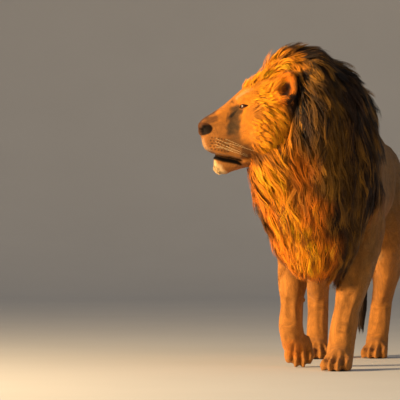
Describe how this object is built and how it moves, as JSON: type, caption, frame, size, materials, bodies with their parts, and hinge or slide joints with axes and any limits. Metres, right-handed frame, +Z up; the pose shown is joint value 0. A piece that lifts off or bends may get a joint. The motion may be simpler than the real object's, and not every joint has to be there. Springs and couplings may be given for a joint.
{
  "type": "lion",
  "caption": "Life-size male lion in mid-walk, dark-maned, its head turned to its right, as a still model that stands on its paws.",
  "frame": {"origin": "middle of the lion's bounding box at the floor, under the chest and belly", "axes": "-Y the way the lion walks, +Y towards its tail, +X its left side, +Z up"},
  "size_m": [0.7392, 1.7794, 1.2905],
  "materials": {
    "coat": "short fur, tawny, matt",
    "mane": "long hair, gold to near black, soft sheen",
    "eye": "amber iris, wet gloss",
    "nose_leather": "dark, slightly damp leather"
  },
  "bodies": {
    "root": {"ear_left": "coat", "ear_right": "coat", "eye_left": "eye", "eye_right": "eye", "foreleg_left_lower": "coat", "foreleg_left_upper": "coat", "foreleg_right_lower": "coat", "foreleg_right_upper": "coat", "forepaw_left": "coat", "forepaw_right": "coat", "head": "coat", "hindleg_left_lower": "coat", "hindleg_left_upper": "coat", "hindleg_right_lower": "coat", "hindleg_right_upper": "coat", "hindpaw_left": "coat", "hindpaw_right": "coat", "lower_jaw": "coat", "mane_chest": "mane", "mane_crown": "mane", "mane_left": "mane", "mane_right": "mane", "neck": "coat", "nose": "nose_leather", "tail": "coat", "tail_tuft": "mane", "trunk_front": "coat", "trunk_rear": "coat"}
  },
  "joints": []
}
